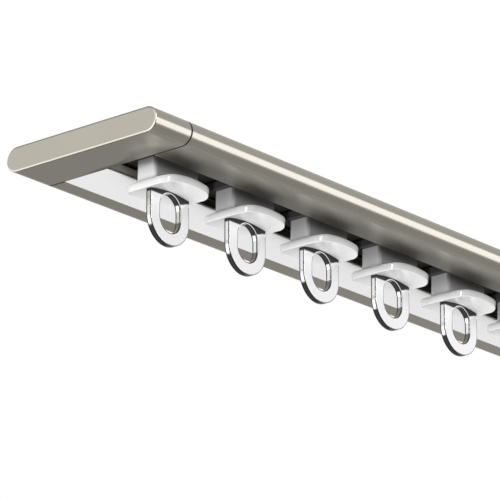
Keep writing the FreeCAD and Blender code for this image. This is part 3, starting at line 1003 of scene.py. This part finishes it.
def ring_mesh():
    """Ring with rounded edges: at each station, one closed line of points goes round the band."""
    shape = bmesh.new()
    edge = [(moved_in, moved_flat) for moved_flat, moved_in in quarter_round(RING_EDGE, RING_EDGE_STEPS)]
    edge = [(0.0, RING_EDGE + FLAT_EDGE)] + edge + [(RING_EDGE + FLAT_EDGE, 0.0)]
    rows = []
    for outer, inner in ring_stations():
        line = []
        for (x, z, out_x, out_z), side, turn in (
            (outer, -1, 1), (inner, -1, -1), (inner, 1, -1), (outer, 1, 1),
        ):
            for moved_in, moved_flat in (edge[::-1] if side == turn else edge):
                line.append((
                    x - turn * out_x * moved_in,
                    side * (RING_HALF_THICKNESS - moved_flat),
                    z - turn * out_z * moved_in,
                ))
        rows.append([shape.verts.new((x * MM, y * MM, z * MM)) for x, y, z in line])
    for index, row in enumerate(rows):
        other = rows[(index + 1) % len(rows)]
        for i in range(len(row)):
            j = (i + 1) % len(row)
            shape.faces.new((row[i], row[j], other[j], other[i]))
    return object_of("ring", shape)


def chrome_finish(name):
    """Chrome: bright on the stamped edges, finely tumbled on the flat sides.

    Painted shade darkens it where the ring seats in the flange and low on its outer edges, and paints the
    foot of the hole grey. Painted dark reflections follow the broken edges as thin lines.
    """
    material, board = material_board(name)
    place, x, y, up = object_axes(board)
    along = along_glider(board, x)
    off_middle_plane = board.maths("ABSOLUTE", y - SLOT_LINE * MM)
    wipe = board.noise(place, 260.0, 3.0)
    tumbled = board.noise(place, 4200.0, 2.0)

    below = board.maths("MINIMUM", up - RING_LOW_CENTRE * MM, 0.0)
    above = board.maths("MAXIMUM", up - HOLE_HIGH_CENTRE * MM, 0.0)
    off_low_centre = board.maths("SQRT", along * along + below * below)
    off_hole_line = board.maths("SQRT", along * along + below * below + above * above)

    flat_side = board.fade(
        off_middle_plane, (RING_HALF_THICKNESS - 0.05) * MM, (RING_HALF_THICKNESS - 0.01) * MM
    )
    stamped = 1.0 - flat_side
    hole_lip = board.fade(off_hole_line, (HOLE_RADIUS + 0.24) * MM, (HOLE_RADIUS + 0.2) * MM)

    # Painted shade: a dark band where the ring enters the flange, reaching lower on its right half.
    right_half = board.fade(along, 6.2 * MM, 3.2 * MM) * board.fade(along, -1.0 * MM, 1.0 * MM)
    seat_height = up + wipe * (0.3 * MM) + right_half * (0.75 * MM)
    seat = board.fade(seat_height, -11.35 * MM, -11.0 * MM) * (1.0 - hole_lip)
    foot = board.fade(up, -16.1 * MM, -16.5 * MM)
    # Painted shade, dark grey, on the foot of the hole.
    painted_hole_foot_shade = board.fade(off_hole_line, 4.4 * MM, 4.2 * MM) * foot * stamped
    outer_side = board.fade(off_low_centre, 5.4 * MM, 5.6 * MM)
    # Painted shade low on the ring's outer edges.
    low_edge = board.fade(up, -18.6 * MM, -19.2 * MM) * outer_side * stamped
    off_edge = board.fade(off_middle_plane, 0.4 * MM, 0.46 * MM)
    # Painted dark reflection: a thin dark line on each stamped side, next to its rounded edges.
    painted_edge_line = off_edge * board.fade(off_middle_plane, 0.72 * MM, 0.69 * MM)
    outer_lip = board.fade(off_low_centre, (RING_HALF_WIDTH - 0.26) * MM, (RING_HALF_WIDTH - 0.18) * MM)
    lips = 1.0 - (1.0 - hole_lip) * (1.0 - outer_lip * board.fade(along, -3.5 * MM, 0.0))
    # Painted dark reflection: a grey line on the flat sides round the hole and the right part of the outer
    # rim, darker at the foot.
    painted_lip_line = lips * flat_side * board.fade(up, -11.9 * MM, -12.3 * MM)

    plated = board.blend(flat_side * (0.8 + tumbled * 0.4), (0.9, 0.9, 0.91, 1.0), (0.93, 0.928, 0.915, 1.0))
    edged = board.blend(low_edge, plated, (0.12, 0.12, 0.12, 1.0))
    hole_foot_shaded = board.blend(painted_hole_foot_shade, edged, (0.2, 0.197, 0.175, 1.0))
    lip_tone = board.blend(hole_lip * foot, (0.26, 0.26, 0.26, 1.0), (0.06, 0.06, 0.055, 1.0))
    lipped = board.blend(painted_lip_line, hole_foot_shaded, lip_tone)
    lined = board.blend(painted_edge_line, lipped, (0.03, 0.03, 0.03, 1.0))
    seat_shade_tone = board.blend(wipe, (0.015, 0.015, 0.015, 1.0), (0.09, 0.09, 0.09, 1.0))
    brushed = 1.0 - (1.0 - flat_side) * (1.0 - off_edge)
    board.surface({
        "Base Color": board.blend(seat, lined, seat_shade_tone),
        "Metallic": 1.0 - stamped * board.fade(up, -12.9 * MM, -13.4 * MM) * 0.28,
        "Roughness": 0.05 + wipe * 0.04 + brushed * 0.27 + seat * 0.2 + painted_hole_foot_shade * 0.2,
        "Normal": board.fine_bump(0.06, tumbled * flat_side),
    })
    return material


tang = loft(box_rings(TANG_HALF_WIDTH, RING_HALF_THICKNESS, TANG_LOW, TANG_TOP))
eyelet_master = combined("eyelet_master", ring_mesh(), [("UNION", tang)])
shade_by_angle(eyelet_master, 32.0)
hang_row(eyelet_master, "_ring", chrome_finish("eyelet_chrome_plate"), "_eyelet")
